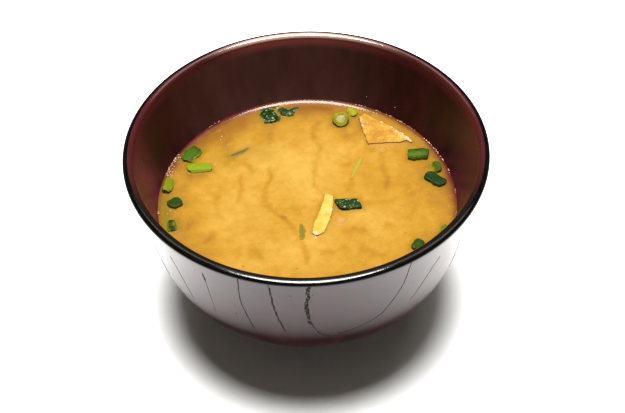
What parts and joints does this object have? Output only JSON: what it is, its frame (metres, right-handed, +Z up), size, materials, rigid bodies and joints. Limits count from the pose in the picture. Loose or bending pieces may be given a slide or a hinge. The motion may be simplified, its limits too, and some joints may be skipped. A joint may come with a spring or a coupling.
{
  "type": "bowl of miso soup",
  "caption": "Lacquered soup bowl on a foot ring, filled with cloudy golden miso soup in which fried tofu and cut scallion greens float.",
  "frame": {"origin": "centre of the foot ring's standing face, on the bowl's axis", "axes": "+Z up the bowl's axis, +X to the eater's right, -Y towards the eater"},
  "size_m": [0.115, 0.115, 0.0632],
  "materials": {
    "lacquer": "glossy dark maroon lacquer inside, black lip, very dark glossy lacquer with thin matt drawn lines outside",
    "broth": "cloudy golden miso broth with a wet surface",
    "fried_tofu": "wet, porous fried tofu skin",
    "dark_green": "wet dark green scallion leaf",
    "mid_green": "wet mid green scallion leaf",
    "lime_green": "wet bright green scallion leaf",
    "pale_green": "wet pale green scallion stalk"
  },
  "bodies": {
    "root": {"bowl": "lacquer", "soup": "broth", "tofu_wedge": "fried_tofu", "tofu_strip": "fried_tofu", "scallion_centre": "dark_green", "scallion_right_back": "mid_green", "scallion_right": "dark_green", "scallion_right_leaf": "mid_green", "scallion_left_leaf": "mid_green", "scallion_left_bright": "lime_green", "scallion_wall_bright": "lime_green", "scallion_left_dark": "dark_green", "scallion_left_low": "dark_green", "scallion_back_dark": "dark_green", "scallion_back_small": "dark_green", "scallion_ring": "pale_green", "scallion_back_bright": "pale_green", "scallion_front_right": "dark_green", "scallion_rim_sliver": "dark_green"}
  },
  "joints": []
}
